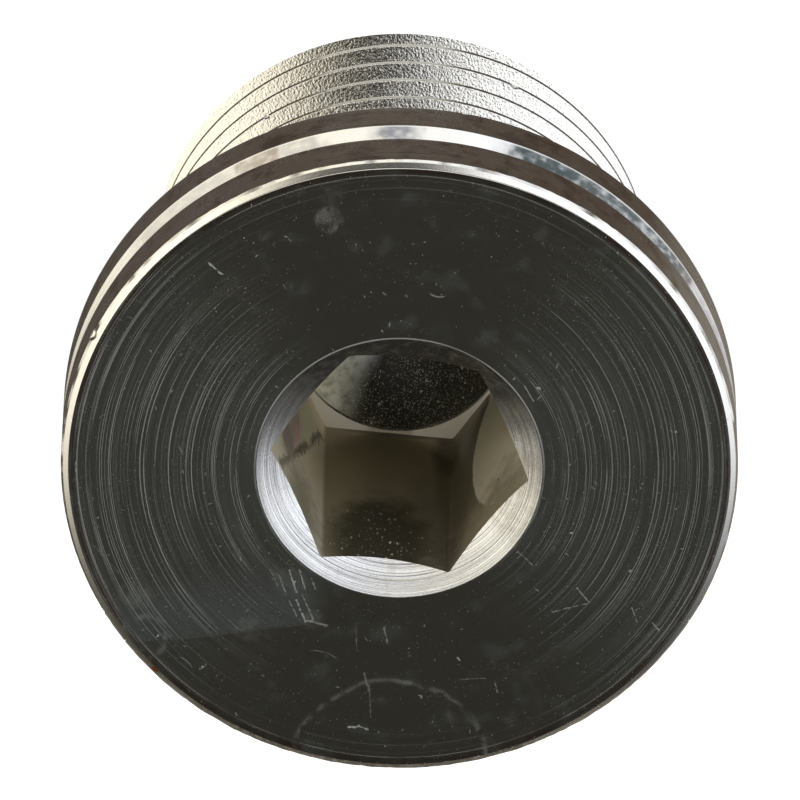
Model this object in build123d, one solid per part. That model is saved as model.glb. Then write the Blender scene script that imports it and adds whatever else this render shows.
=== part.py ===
"""Hex socket plug: one turned steel piece with a collar, a stud and an internal hexagon.

The plug stands on the end of its stud. The origin is the centre of that end face, +Z runs along
the axis towards the head, and two corners of the hexagon lie on the X axis. All sizes are in mm.
"""
from build123d import *
import math
import os

# Main sizes
COLLAR_DIA = 24.0
COLLAR_THICKNESS = 5.0
STUD_LENGTH = 14.0
THREAD_MAJOR_DIA = 18.0
THREAD_PITCH = 1.5

# Edges of the collar: the head edge and the sealing edge are broken unevenly
HEAD_CHAMFER_RADIAL = 0.26
HEAD_CHAMFER_AXIAL = 0.22
SEAL_CHAMFER_RADIAL = 0.30
SEAL_CHAMFER_AXIAL = 0.45

# V groove round the middle of the collar
GROOVE_WIDTH = 1.15
GROOVE_ANGLE = 90.0
GROOVE_ROOT_RADIUS = 0.12

# Relief between the sealing face and the thread, and the lead-in at the stud's end
RELIEF_DIA = THREAD_MAJOR_DIA - 2.3
RELIEF_WIDTH = 2.5 * THREAD_PITCH
RELIEF_RADIUS = 0.8
RELIEF_RUNOUT_ANGLE = 30.0
LEAD_IN = 1.2

# Hexagon for the key, with the drilled hole that it was broached into
HEX_ACROSS_FLATS = 8.0
HEX_DEPTH = 10.8
HEX_CORNER_RADIUS = 0.15
COUNTERSINK_DIA = 10.1
COUNTERSINK_ANGLE = 100.0
PILOT_DIA = 7.8
PILOT_DEPTH = 11.0
DRILL_POINT_ANGLE = 118.0

# Worked out from the sizes above
LENGTH = COLLAR_THICKNESS + STUD_LENGTH
COLLAR_RADIUS = COLLAR_DIA / 2
THREAD_RADIUS = THREAD_MAJOR_DIA / 2
CUT_MARGIN = 1.0


def cone_height(radius, included_angle):
    """Height of a cone of this base radius and this full angle at its point."""
    return radius / math.tan(math.radians(included_angle / 2))


def turned(section):
    """Solid of revolution about Z of a face drawn in the XZ plane."""
    return revolve(section, axis=Axis.Z)


def collar():
    """Disc of the head, from the sealing face up, with both its edges broken."""
    outline = Polyline(
        (0, STUD_LENGTH),
        (COLLAR_RADIUS - SEAL_CHAMFER_RADIAL, STUD_LENGTH),
        (COLLAR_RADIUS, STUD_LENGTH + SEAL_CHAMFER_AXIAL),
        (COLLAR_RADIUS, LENGTH - HEAD_CHAMFER_AXIAL),
        (COLLAR_RADIUS - HEAD_CHAMFER_RADIAL, LENGTH),
        (0, LENGTH),
        close=True,
    )
    return turned(Plane.XZ * make_face(outline))


def collar_groove():
    """Ring that cuts the V groove, as deep as its width and angle make it."""
    depth = cone_height(GROOVE_WIDTH / 2, GROOVE_ANGLE)
    flare = CUT_MARGIN * math.tan(math.radians(GROOVE_ANGLE / 2))
    middle = LENGTH - COLLAR_THICKNESS / 2
    mouth = GROOVE_WIDTH / 2 + flare
    outline = Polyline(
        (COLLAR_RADIUS - depth, middle),
        (COLLAR_RADIUS + CUT_MARGIN, middle - mouth),
        (COLLAR_RADIUS + CUT_MARGIN, middle + mouth),
        close=True,
    )
    section = make_face(outline)
    root = section.vertices().sort_by(Axis.X)[0]
    return turned(Plane.XZ * fillet(root, GROOVE_ROOT_RADIUS))


def stud():
    """Shank at the thread's outside diameter, with its lead-in and its relief."""
    relief_radius = RELIEF_DIA / 2
    runout = (THREAD_RADIUS - relief_radius) / math.tan(math.radians(RELIEF_RUNOUT_ANGLE))
    relief_bottom = STUD_LENGTH - RELIEF_WIDTH
    outline = Polyline(
        (0, 0),
        (THREAD_RADIUS - LEAD_IN, 0),
        (THREAD_RADIUS, LEAD_IN),
        (THREAD_RADIUS, relief_bottom),
        (relief_radius, relief_bottom + runout),
        (relief_radius, STUD_LENGTH),
        (0, STUD_LENGTH),
        close=True,
    )
    return turned(Plane.XZ * make_face(outline))


def key_socket():
    """Everything cut from the head: countersink, broached hexagon and drilled pilot."""
    mouth_radius = COUNTERSINK_DIA / 2 + CUT_MARGIN * math.tan(math.radians(COUNTERSINK_ANGLE / 2))
    mouth = Polyline(
        (0, LENGTH + CUT_MARGIN),
        (mouth_radius, LENGTH + CUT_MARGIN),
        (0, LENGTH + CUT_MARGIN - cone_height(mouth_radius, COUNTERSINK_ANGLE)),
        close=True,
    )
    pilot_radius = PILOT_DIA / 2
    drilled = Polyline(
        (0, LENGTH),
        (pilot_radius, LENGTH),
        (pilot_radius, LENGTH - PILOT_DEPTH),
        (0, LENGTH - PILOT_DEPTH - cone_height(pilot_radius, DRILL_POINT_ANGLE)),
        close=True,
    )
    hexagon = RegularPolygon(HEX_ACROSS_FLATS / 2, side_count=6, major_radius=False)
    hexagon = fillet(hexagon.vertices(), HEX_CORNER_RADIUS)
    broached = Pos(0, 0, LENGTH - HEX_DEPTH) * extrude(hexagon, HEX_DEPTH)
    return turned(Plane.XZ * make_face(mouth)) + turned(Plane.XZ * make_face(drilled)) + broached


def plug_body():
    """The whole plug, with the round at the foot of the relief."""
    body = collar() + stud() - collar_groove()
    foot = body.edges().filter_by(GeomType.CIRCLE).filter_by_position(Axis.Z, STUD_LENGTH, STUD_LENGTH)
    foot = foot.sort_by(SortBy.RADIUS)[0]
    body = fillet(foot, RELIEF_RADIUS)
    return body - key_socket()


os.makedirs("parts", exist_ok=True)
export_step(plug_body(), "parts/plug_body.step")
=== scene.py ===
"""Hex socket plug: the dressed model, with its threaded stud, finishes, stage, lights and camera.

The plug stands on the end of its stud. The origin is the centre of that end face and +Z runs along
the axis towards the head. Sizes are written in millimetres and multiplied by MM, because every
Blender object is in metres. Angles about the axis are in degrees from +X towards +Y.
"""

import logging
import math
from collections.abc import Callable, Iterator
from contextlib import contextmanager
from dataclasses import dataclass, field
from enum import Enum
from typing import Self

import bpy
from mathutils import Matrix, Vector

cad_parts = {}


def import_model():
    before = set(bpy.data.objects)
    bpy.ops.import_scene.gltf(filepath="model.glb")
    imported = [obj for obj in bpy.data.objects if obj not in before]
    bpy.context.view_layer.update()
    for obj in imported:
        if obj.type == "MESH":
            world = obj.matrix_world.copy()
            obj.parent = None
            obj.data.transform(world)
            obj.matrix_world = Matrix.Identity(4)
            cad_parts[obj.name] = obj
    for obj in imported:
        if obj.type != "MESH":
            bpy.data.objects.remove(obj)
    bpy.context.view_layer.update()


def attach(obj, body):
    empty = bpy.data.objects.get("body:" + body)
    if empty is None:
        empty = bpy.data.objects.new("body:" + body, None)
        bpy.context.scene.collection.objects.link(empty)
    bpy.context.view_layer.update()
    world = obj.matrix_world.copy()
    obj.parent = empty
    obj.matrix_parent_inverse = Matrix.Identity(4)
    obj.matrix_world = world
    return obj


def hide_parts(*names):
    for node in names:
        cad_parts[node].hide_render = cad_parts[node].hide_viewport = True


MM = 0.001
MERGE = 0.0005 * MM
SMOOTH_ANGLE = 28.0
HEAD_HEIGHT = 19.0
SHANK_RADIUS = 9.0
NODE_SPACING = 180
log = logging.getLogger("plug")

Spot = tuple[float, float]
Triple = tuple[float, float, float]
Colour = Triple
Piece = bpy.types.Object
Tree = bpy.types.NodeTree
Socket = bpy.types.NodeSocket


class Zone(Enum):
    """The surfaces of the plug that are finished differently, in the order of their slots."""

    FACE = 0
    EDGE = 1
    BAND = 2
    GROOVE = 3
    THREAD = 4
    STUD = 5
    COUNTERSINK = 6
    FLAT = 7
    SHELF = 8
    PILOT = 9
    POINT = 10


@dataclass(frozen=True)
class Corner:
    """One corner of a turned section, in millimetres, with the round that it is given."""

    radius: float
    height: float
    round: float = 0.0


def rounded(corners: list[Corner], steps: int = 4) -> list[Vector]:
    """Turn a section's corners into points in the XZ plane, with an arc at each round.

    Args:
        corners: The corners in order. The first and last have no round.
        steps: Number of edges in each arc.

    Returns:
        The points in metres.
    """
    flat = [Vector((corner.radius, corner.height)) * MM for corner in corners]
    points = []
    for index, corner in enumerate(corners):
        here = flat[index]
        if not corner.round:
            points.append(here)
            continue
        size = corner.round * MM
        arriving = (here - flat[index - 1]).normalized()
        leaving = (flat[index + 1] - here).normalized()
        turn = arriving.angle(leaving)
        inward = (leaving - arriving * arriving.dot(leaving)).normalized()
        start = here - arriving * size * math.tan(turn / 2)
        for step in range(steps + 1):
            angle = turn * step / steps
            swing = arriving * math.sin(angle) + inward * (1 - math.cos(angle))
            points.append(start + swing * size)
    return [Vector((point.x, 0, point.y)) for point in points]


def around(place: Triple) -> Vector:
    """Return the point at an angle in degrees, a radius and a height."""
    angle, radius, height = place
    turn = math.radians(angle)
    return Vector((radius * math.cos(turn), radius * math.sin(turn), height))


@contextmanager
def editing(mode: str = "VERT") -> Iterator[None]:
    """Stay in edit mode for the steps inside, with the whole mesh selected at first."""
    bpy.ops.object.mode_set(mode="EDIT")
    bpy.ops.mesh.select_mode(type=mode)
    bpy.ops.mesh.select_all(action="SELECT")
    yield
    bpy.ops.object.mode_set(mode="OBJECT")


class Bench:
    """The modelling steps that the parts of the plug share."""

    @staticmethod
    def pick(piece: Piece) -> None:
        """Make one object the active and only selected one."""
        bpy.ops.object.select_all(action="DESELECT")
        piece.select_set(True)
        bpy.context.view_layer.objects.active = piece

    @staticmethod
    def modify(piece: Piece, kind: str, **settings: object) -> None:
        """Add a modifier of one kind, set its properties in order and apply it."""
        Bench.pick(piece)
        modifier = piece.modifiers.new(kind.title(), kind)
        for name, value in settings.items():
            setattr(modifier, name, value)
        bpy.ops.object.modifier_apply(modifier=modifier.name)

    @staticmethod
    def chain(name: str, points: list[Vector], closed: bool) -> Piece:
        """Draw a line of edges, point by point, as the section that a spin or a screw sweeps.

        Args:
            name: Name of the new object.
            points: Points of the line in metres, in order.
            closed: Whether the last point is joined to the first.

        Returns:
            The line, as a mesh object at the origin.
        """
        bpy.ops.object.select_all(action="DESELECT")
        bpy.ops.mesh.primitive_plane_add(size=MM, location=points[0])
        line = bpy.context.object
        line.name = name
        bpy.ops.object.transform_apply(location=True)
        path = points + points[:1] if closed else points
        with editing():
            bpy.ops.mesh.merge(type="CENTER")
            for start, end in zip(path, path[1:]):
                bpy.ops.mesh.extrude_vertices_move(TRANSFORM_OT_translate={"value": end - start})
            bpy.ops.mesh.select_all(action="SELECT")
            bpy.ops.mesh.remove_doubles(threshold=MERGE)
        return line

    @staticmethod
    def close_shell(piece: Piece) -> None:
        """Merge the doubles of a swept shell, close its open ends and turn its faces outwards."""
        Bench.pick(piece)
        with editing():
            bpy.ops.mesh.remove_doubles(threshold=MERGE)
            bpy.ops.mesh.select_all(action="DESELECT")
            bpy.ops.mesh.select_non_manifold(extend=False, use_wire=False, use_multi_face=False)
            bpy.ops.mesh.fill_holes(sides=0)
            bpy.ops.mesh.select_all(action="SELECT")
            bpy.ops.mesh.normals_make_consistent(inside=False)

    @staticmethod
    def cut(work: Piece, cutter: Piece) -> None:
        """Take one closed shape out of the work, and put the cutter away."""
        Bench.modify(work, "BOOLEAN", operation="DIFFERENCE", solver="EXACT", object=cutter)
        bpy.data.objects.remove(cutter, do_unlink=True)

    @staticmethod
    def resize(work: Piece, factor: float) -> None:
        """Make the mesh itself larger or smaller."""
        work.scale = (factor,) * 3
        bpy.ops.object.transform_apply(scale=True)

    @staticmethod
    def shade(work: Piece) -> None:
        """Shade the small rounds smooth and keep the wide faces between them flat.

        Faces of less than a square millimetre are too small for the weighting to tell apart, so the
        work is enlarged while it runs.
        """
        Bench.pick(work)
        bpy.ops.object.shade_smooth_by_angle(angle=math.radians(SMOOTH_ANGLE))
        Bench.resize(work, 1 / MM)
        Bench.modify(work, "WEIGHTED_NORMAL", mode="FACE_AREA", keep_sharp=True)
        Bench.resize(work, MM)


@dataclass
class Blank:
    """The turned blank: stud, relief, collar with its V groove, countersink and drilled pilot."""

    steps: int = 360
    end_radius: float = 7.82
    end_round: float = 0.08
    tip_radius: float = 8.72
    tip_step: float = 0.07
    tip_heights: Triple = (0.90, 1.04, 1.34)
    tip_round: float = 0.10
    shank_radius: float = SHANK_RADIUS
    shank_rounds: Spot = (0.20, 0.10)
    relief_radius: float = 7.85
    relief_from: float = 10.25
    relief_rounds: Spot = (0.30, 0.8)
    runout_angle: float = 30.0
    seal_height: float = 14.0
    collar_radius: float = 12.0
    seal_chamfer: Spot = (0.30, 0.45)
    seal_rounds: Spot = (0.05, 0.10)
    head_chamfer: Spot = (0.26, 0.126)
    worn_facet: Spot = (0.08, 0.089)
    worn_rounds: Spot = (0.03, 0.04)
    height: float = HEAD_HEIGHT
    groove_middle: float = 16.5
    groove_width: float = 1.15
    groove_rounds: Spot = (0.06, 0.12)
    countersink_radius: float = 5.05
    countersink_slope: float = 40.0
    face_round: float = 0.09
    pilot_radius: float = 3.9
    pilot_depth: float = 11.35
    drill_angle: float = 118.0
    rim_wander: float = 0.17
    rim_ripple: float = 0.30
    rim_reach: Spot = (0.03, 0.06)

    @property
    def rim_height(self) -> float:
        """Height of the side edge of the worn head chamfer."""
        return self.height - self.head_chamfer[1] - self.worn_facet[1]

    def section(self) -> list[Vector]:
        """Return the half section, from the axis at the stud's end round to the drill point."""
        drop = self.shank_radius - self.relief_radius
        runout = drop / math.tan(math.radians(self.runout_angle))
        half = self.groove_width / 2
        slope = math.tan(math.radians(self.countersink_slope))
        sink = (self.countersink_radius - self.pilot_radius) * slope
        point = self.pilot_radius / math.tan(math.radians(self.drill_angle / 2))
        floor = self.height - self.pilot_depth
        collar = self.collar_radius
        return rounded([
            Corner(0, 0),
            Corner(self.end_radius, 0, self.end_round),
            Corner(self.tip_radius, self.tip_heights[0], self.tip_round),
            Corner(self.tip_radius + self.tip_step, self.tip_heights[1], self.tip_round),
            Corner(self.shank_radius, self.tip_heights[2], self.shank_rounds[0]),
            Corner(self.shank_radius, self.relief_from, self.shank_rounds[1]),
            Corner(self.relief_radius, self.relief_from + runout, self.relief_rounds[0]),
            Corner(self.relief_radius, self.seal_height, self.relief_rounds[1]),
            Corner(collar - self.seal_chamfer[0], self.seal_height, self.seal_rounds[0]),
            Corner(collar, self.seal_height + self.seal_chamfer[1], self.seal_rounds[1]),
            Corner(collar, self.groove_middle - half, self.groove_rounds[0]),
            Corner(collar - half, self.groove_middle, self.groove_rounds[1]),
            Corner(collar, self.groove_middle + half, self.groove_rounds[0]),
            Corner(collar, self.rim_height, self.worn_rounds[0]),
            Corner(collar - self.worn_facet[0], self.height - self.head_chamfer[1],
                   self.worn_rounds[1]),
            Corner(collar - self.head_chamfer[0], self.height, self.face_round),
            Corner(self.countersink_radius, self.height, self.face_round),
            Corner(self.pilot_radius, self.height - sink),
            Corner(self.pilot_radius, floor),
            Corner(0, floor - point),
        ])

    def roughen_rim(self, blank: Piece) -> None:
        """Let the side edge of the head chamfer wander up and down, as a worn edge does."""
        inwards, upwards = self.rim_reach
        rim = blank.vertex_groups.new(name="rim")
        for vertex in blank.data.vertices:
            across = math.hypot(vertex.co.x, vertex.co.y) / MM
            near = abs(vertex.co.z / MM - self.rim_height) < upwards
            if near and across > self.collar_radius - inwards:
                rim.add([vertex.index], 1.0, "REPLACE")
        wander = bpy.data.textures.new("rim_wander", "CLOUDS")
        wander.noise_scale = self.rim_ripple * MM
        wander.noise_depth = 2
        Bench.modify(blank, "DISPLACE", texture=wander, texture_coords="LOCAL", direction="Z",
                     mid_level=0.5, strength=self.rim_wander * MM, vertex_group=rim.name)
        blank.vertex_groups.clear()
        bpy.data.textures.remove(wander)

    def build(self) -> Piece:
        """Spin the half section into the blank and return it."""
        blank = Bench.chain("plug", self.section(), closed=False)
        Bench.pick(blank)
        with editing():
            bpy.ops.mesh.spin(steps=self.steps, angle=2 * math.pi, center=(0, 0, 0), axis=(0, 0, 1))
        Bench.close_shell(blank)
        self.roughen_rim(blank)
        return blank


@dataclass
class Thread:
    """The helical groove between the turns of the stud's thread, cut from the blank's shank.

    The profile holds half the groove's width at each depth. Above the shank it flares, so that the
    edges of the crests come out round.
    """

    pitch: float = 1.5
    radius: float = SHANK_RADIUS
    profile: tuple[Spot, ...] = (
        (0.80, -0.60), (0.80, -0.041), (0.692, -0.0045), (0.667, 0.0072), (0.641, 0.0305),
        (0.184, 0.822), (0.100, 0.90))
    turns: int = 9
    steps: int = 180
    start_height: float = -0.978

    @property
    def depth(self) -> float:
        """Depth of the groove below the shank."""
        return self.profile[-1][1]

    def section(self) -> list[Vector]:
        """Return the groove's section, up one side and down the other."""
        upper = [(self.radius - deep, self.start_height + wide) for wide, deep in self.profile]
        lower = [
            (self.radius - deep, self.start_height - wide) for wide, deep in self.profile[::-1]]
        return [Vector((radius * MM, 0, level * MM)) for radius, level in upper + lower]

    def cutter(self) -> Piece:
        """Sweep the section along the helix and return the closed cutter."""
        groove = Bench.chain("thread_groove", self.section(), closed=True)
        Bench.modify(groove, "SCREW", axis="Z", angle=2 * math.pi, screw_offset=self.pitch * MM,
                     iterations=self.turns, steps=self.steps, render_steps=self.steps)
        Bench.close_shell(groove)
        return groove


@dataclass
class KeySocket:
    """The broached hexagon, with the round at its corners and the slight twist of its depth."""

    across_flats: float = 8.0
    depth: float = 11.15
    corner_round: float = 0.15
    corner_steps: int = 4
    mouth_turn: float = 0.9
    shelf_turn: float = 2.6
    clearance: float = 0.5
    rows: int = 8

    def cutter(self) -> Piece:
        """Return a hexagonal prism from the shelf to just above the head.

        The twist turns each level by its height above the origin, so the whole prism is first
        turned back by what that gives at the head.
        """
        sides = 6
        half_side = math.pi / sides
        height = self.depth + self.clearance
        rate = (self.mouth_turn - self.shelf_turn) / self.depth
        start = self.mouth_turn - rate * HEAD_HEIGHT
        bpy.ops.object.select_all(action="DESELECT")
        bpy.ops.mesh.primitive_cylinder_add(
            vertices=sides,
            radius=self.across_flats / math.sqrt(3) * MM,
            depth=height * MM,
            location=(0, 0, (HEAD_HEIGHT - self.depth + height / 2) * MM),
            rotation=(0, 0, half_side + math.radians(start)),
        )
        hexagon = bpy.context.object
        bpy.ops.object.transform_apply(location=True, rotation=True)
        reach = self.corner_round * math.tan(half_side) * MM
        self.work_uprights(hexagon, bpy.ops.mesh.bevel, offset=reach, segments=self.corner_steps)
        self.work_uprights(hexagon, bpy.ops.mesh.subdivide, number_cuts=self.rows)
        Bench.modify(hexagon, "SIMPLE_DEFORM", deform_method="TWIST", deform_axis="Z",
                     angle=math.radians(rate * height))
        return hexagon

    @staticmethod
    def work_uprights(prism: Piece, operator: Callable[..., set[str]], **settings: object) -> None:
        """Run one edit-mode operator on the upright edges of a prism only."""
        with editing("EDGE"):
            bpy.ops.mesh.select_all(action="DESELECT")
        for edge in prism.data.edges:
            ends = [prism.data.vertices[index].co.z for index in edge.vertices]
            edge.select = abs(ends[0] - ends[1]) > MM
        bpy.ops.object.mode_set(mode="EDIT")
        operator(**settings)
        bpy.ops.object.mode_set(mode="OBJECT")


@dataclass(frozen=True)
class Nick:
    """A small knock in an edge: its middle, and how far it reaches inwards, along and up."""

    place: Triple
    reach: Triple


@dataclass
class Knocks:
    """The nicks that handling has left in the plug's edges."""

    nicks: tuple[Nick, ...] = (
        Nick((-17.0, 12.02, 18.80), (0.20, 0.26, 0.24)),
        Nick((158.0, 12.02, 18.86), (0.12, 0.10, 0.12)),
        Nick((-92.6, 12.04, 14.56), (0.10, 0.16, 0.14)),
        Nick((-108.5, 9.02, 3.85), (0.14, 0.20, 0.14)),
        Nick((-49.0, 9.02, 5.62), (0.12, 0.14, 0.12)),
        Nick((37.0, 12.02, 18.83), (0.10, 0.14, 0.10)),
        Nick((43.5, 12.02, 18.86), (0.12, 0.10, 0.10)),
        Nick((50.0, 12.02, 18.84), (0.09, 0.16, 0.09)),
        Nick((59.0, 12.02, 18.86), (0.13, 0.12, 0.12)),
        Nick((112.0, 12.02, 18.88), (0.09, 0.18, 0.08)),
        Nick((-66.0, 12.03, 17.08), (0.07, 0.12, 0.07)),
        Nick((76.0, 12.03, 14.48), (0.10, 0.18, 0.10)),
        Nick((31.0, 9.02, 4.20), (0.12, 0.16, 0.12)),
        Nick((123.0, 9.02, 7.50), (0.11, 0.18, 0.12)),
    )
    unevenness: float = 0.12
    first_seed: int = 3

    def cutter(self) -> Piece:
        """Model each nick as a small uneven lump and return them as one cutter."""
        lumps = []
        for seed, nick in enumerate(self.nicks, self.first_seed):
            bpy.ops.object.select_all(action="DESELECT")
            bpy.ops.mesh.primitive_ico_sphere_add(
                subdivisions=2,
                radius=MM,
                location=around(nick.place) * MM,
                rotation=(0, 0, math.radians(nick.place[0])),
                scale=nick.reach,
            )
            with editing():
                uneven = self.unevenness * min(nick.reach) * MM
                bpy.ops.transform.vertex_random(offset=uneven, seed=seed)
            bpy.ops.object.transform_apply(location=True, rotation=True, scale=True)
            lumps.append(bpy.context.object)
        Bench.pick(lumps[0])
        for lump in lumps:
            lump.select_set(True)
        bpy.ops.object.join()
        return bpy.context.object


class Term:
    """Something that a node puts out. Each sum with it adds a node of the kind named by sums."""

    sums = ""

    def __init__(self, graph: "Graph", socket: Socket) -> None:
        """Keep the output and the graph that it is in."""
        self.graph = graph
        self.socket = socket

    def math(self, operation: str, *terms: object) -> Self:
        """Return the outcome of one sum."""
        inputs = dict(enumerate((self, *terms)))
        node = self.graph.node(self.sums, inputs, operation=operation)
        return type(self)(self.graph, node.outputs[0])

    def __add__(self, other: object) -> Self:
        return self.math("ADD", other)

    def __sub__(self, other: object) -> Self:
        return self.math("SUBTRACT", other)

    def __mul__(self, other: object) -> Self:
        return self.math("MULTIPLY", other)

    def __truediv__(self, other: object) -> Self:
        return self.math("DIVIDE", other)


class Number(Term):
    """A number. The sign | gives the larger of two, as of two masks."""

    sums = "Math"

    def __pow__(self, other: object) -> Self:
        return self.math("POWER", other)

    def __or__(self, other: object) -> Self:
        return self.math("MAXIMUM", other)

    def __lt__(self, other: object) -> Self:
        return self.math("LESS_THAN", other)

    def __abs__(self) -> Self:
        return self.math("ABSOLUTE")

    def line(self, slope: object, start: object) -> Self:
        """Return start plus slope times the number."""
        return self.math("MULTIPLY_ADD", slope, start)

    def step(self, low: object, high: object) -> Self:
        """Return a smooth step from 0 at low to 1 at high."""
        inputs = {"Value": self, "From Min": low, "From Max": high}
        return self.graph.number("MapRange", inputs, interpolation_type="SMOOTHSTEP")

    def blend(self, low: object, high: object) -> Self:
        """Return a number between low and high, of which this one is the share."""
        return self.graph.number("Mix", {0: self, 2: low, 3: high}, data_type="FLOAT")

    def wave(self, detail: float) -> Self:
        """Return an uneven wave along the number."""
        inputs = {"W": self, "Scale": 1.0, "Detail": detail, "Roughness": 0.65}
        return self.graph.number("TexNoise", inputs, noise_dimensions="1D")


class Way(Term):
    """A place or a direction."""

    sums = "VectorMath"

    def measure(self, operation: str, *terms: object) -> Number:
        """Return the number that one sum gives."""
        inputs = dict(enumerate((self, *terms)))
        return self.graph.number(self.sums, inputs, output=1, operation=operation)

    def scaled(self, factor: object) -> Self:
        """Return the vector times one number."""
        return self.graph.way(self.sums, {0: self, "Scale": factor}, operation="SCALE")

    def normal(self) -> Self:
        """Return the vector at a length of one."""
        return self.math("NORMALIZE")

    def dot(self, other: object) -> Number:
        """Return the dot product with another vector."""
        return self.measure("DOT_PRODUCT", other)

    def length(self) -> Number:
        """Return the vector's length."""
        return self.measure("LENGTH")

    def level(self) -> Self:
        """Return the vector without its height."""
        return self * (1.0, 1.0, 0.0)

    def parts(self) -> tuple[Number, Number, Number]:
        """Return the three parts of the vector."""
        outputs = self.graph.node("SeparateXYZ", {0: self}).outputs
        return tuple(Number(self.graph, output) for output in outputs)

    def noise(self, scale: object, detail: float = 2.0) -> Number:
        """Return a cloudy pattern of values about one half."""
        return self.graph.number("TexNoise", {"Vector": self, "Scale": scale, "Detail": detail})


Masks = dict[str, Number]


class Graph:
    """Adds and joins nodes in one node tree."""

    def __init__(self, tree: Tree) -> None:
        """Keep the tree that the nodes go into."""
        self.tree = tree

    def node(self, kind: str, inputs: dict | None = None, **settings: object) -> bpy.types.Node:
        """Add a node, set its properties and feed its inputs.

        Args:
            kind: Blender's name of the node type, without its ShaderNode prefix.
            inputs: Input names or numbers, each with a value or the term that feeds it.
            **settings: Properties of the node.

        Returns:
            The new node.
        """
        node = self.tree.nodes.new("ShaderNode" + kind)
        node.location.x = NODE_SPACING * len(self.tree.nodes)
        for name, value in settings.items():
            setattr(node, name, value)
        for key, value in (inputs or {}).items():
            self.feed(node.inputs[key], value)
        return node

    def number(
        self, kind: str, inputs: dict | None = None, output: int | str = 0, **settings: object
    ) -> Number:
        """Add a node and return one of its outputs as a number."""
        return Number(self, self.node(kind, inputs, **settings).outputs[output])

    def way(
        self, kind: str, inputs: dict | None = None, output: int | str = 0, **settings: object
    ) -> Way:
        """Add a node and return one of its outputs as a vector."""
        return Way(self, self.node(kind, inputs, **settings).outputs[output])

    def place(self, x: object = 0.0, y: object = 0.0, z: object = 0.0) -> Way:
        """Return the vector with these parts."""
        return self.way("CombineXYZ", {0: x, 1: y, 2: z})

    def use(self, tree: Tree, **inputs: object) -> Masks:
        """Place a shared group, feed its inputs by name and return its outputs by name."""
        node = self.node("Group", node_tree=tree)
        for name, value in inputs.items():
            self.feed(node.inputs[name.title()], value)
        return {output.name: Number(self, output) for output in node.outputs}

    def feed(self, socket: Socket, value: object) -> None:
        """Join a term or an output to a socket, or set the socket to a plain value."""
        value = getattr(value, "socket", value)
        if isinstance(value, Socket):
            self.tree.links.new(value, socket)
        else:
            socket.default_value = value

    def tint(self, share: object, low: object, high: object) -> Term:
        """Return a colour between low and high, by its share."""
        low, high = ((*end, 1) if isinstance(end, tuple) else end for end in (low, high))
        node = self.node("Mix", {0: share, 6: low, 7: high}, data_type="RGBA")
        return Term(self, node.outputs[2])


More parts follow.
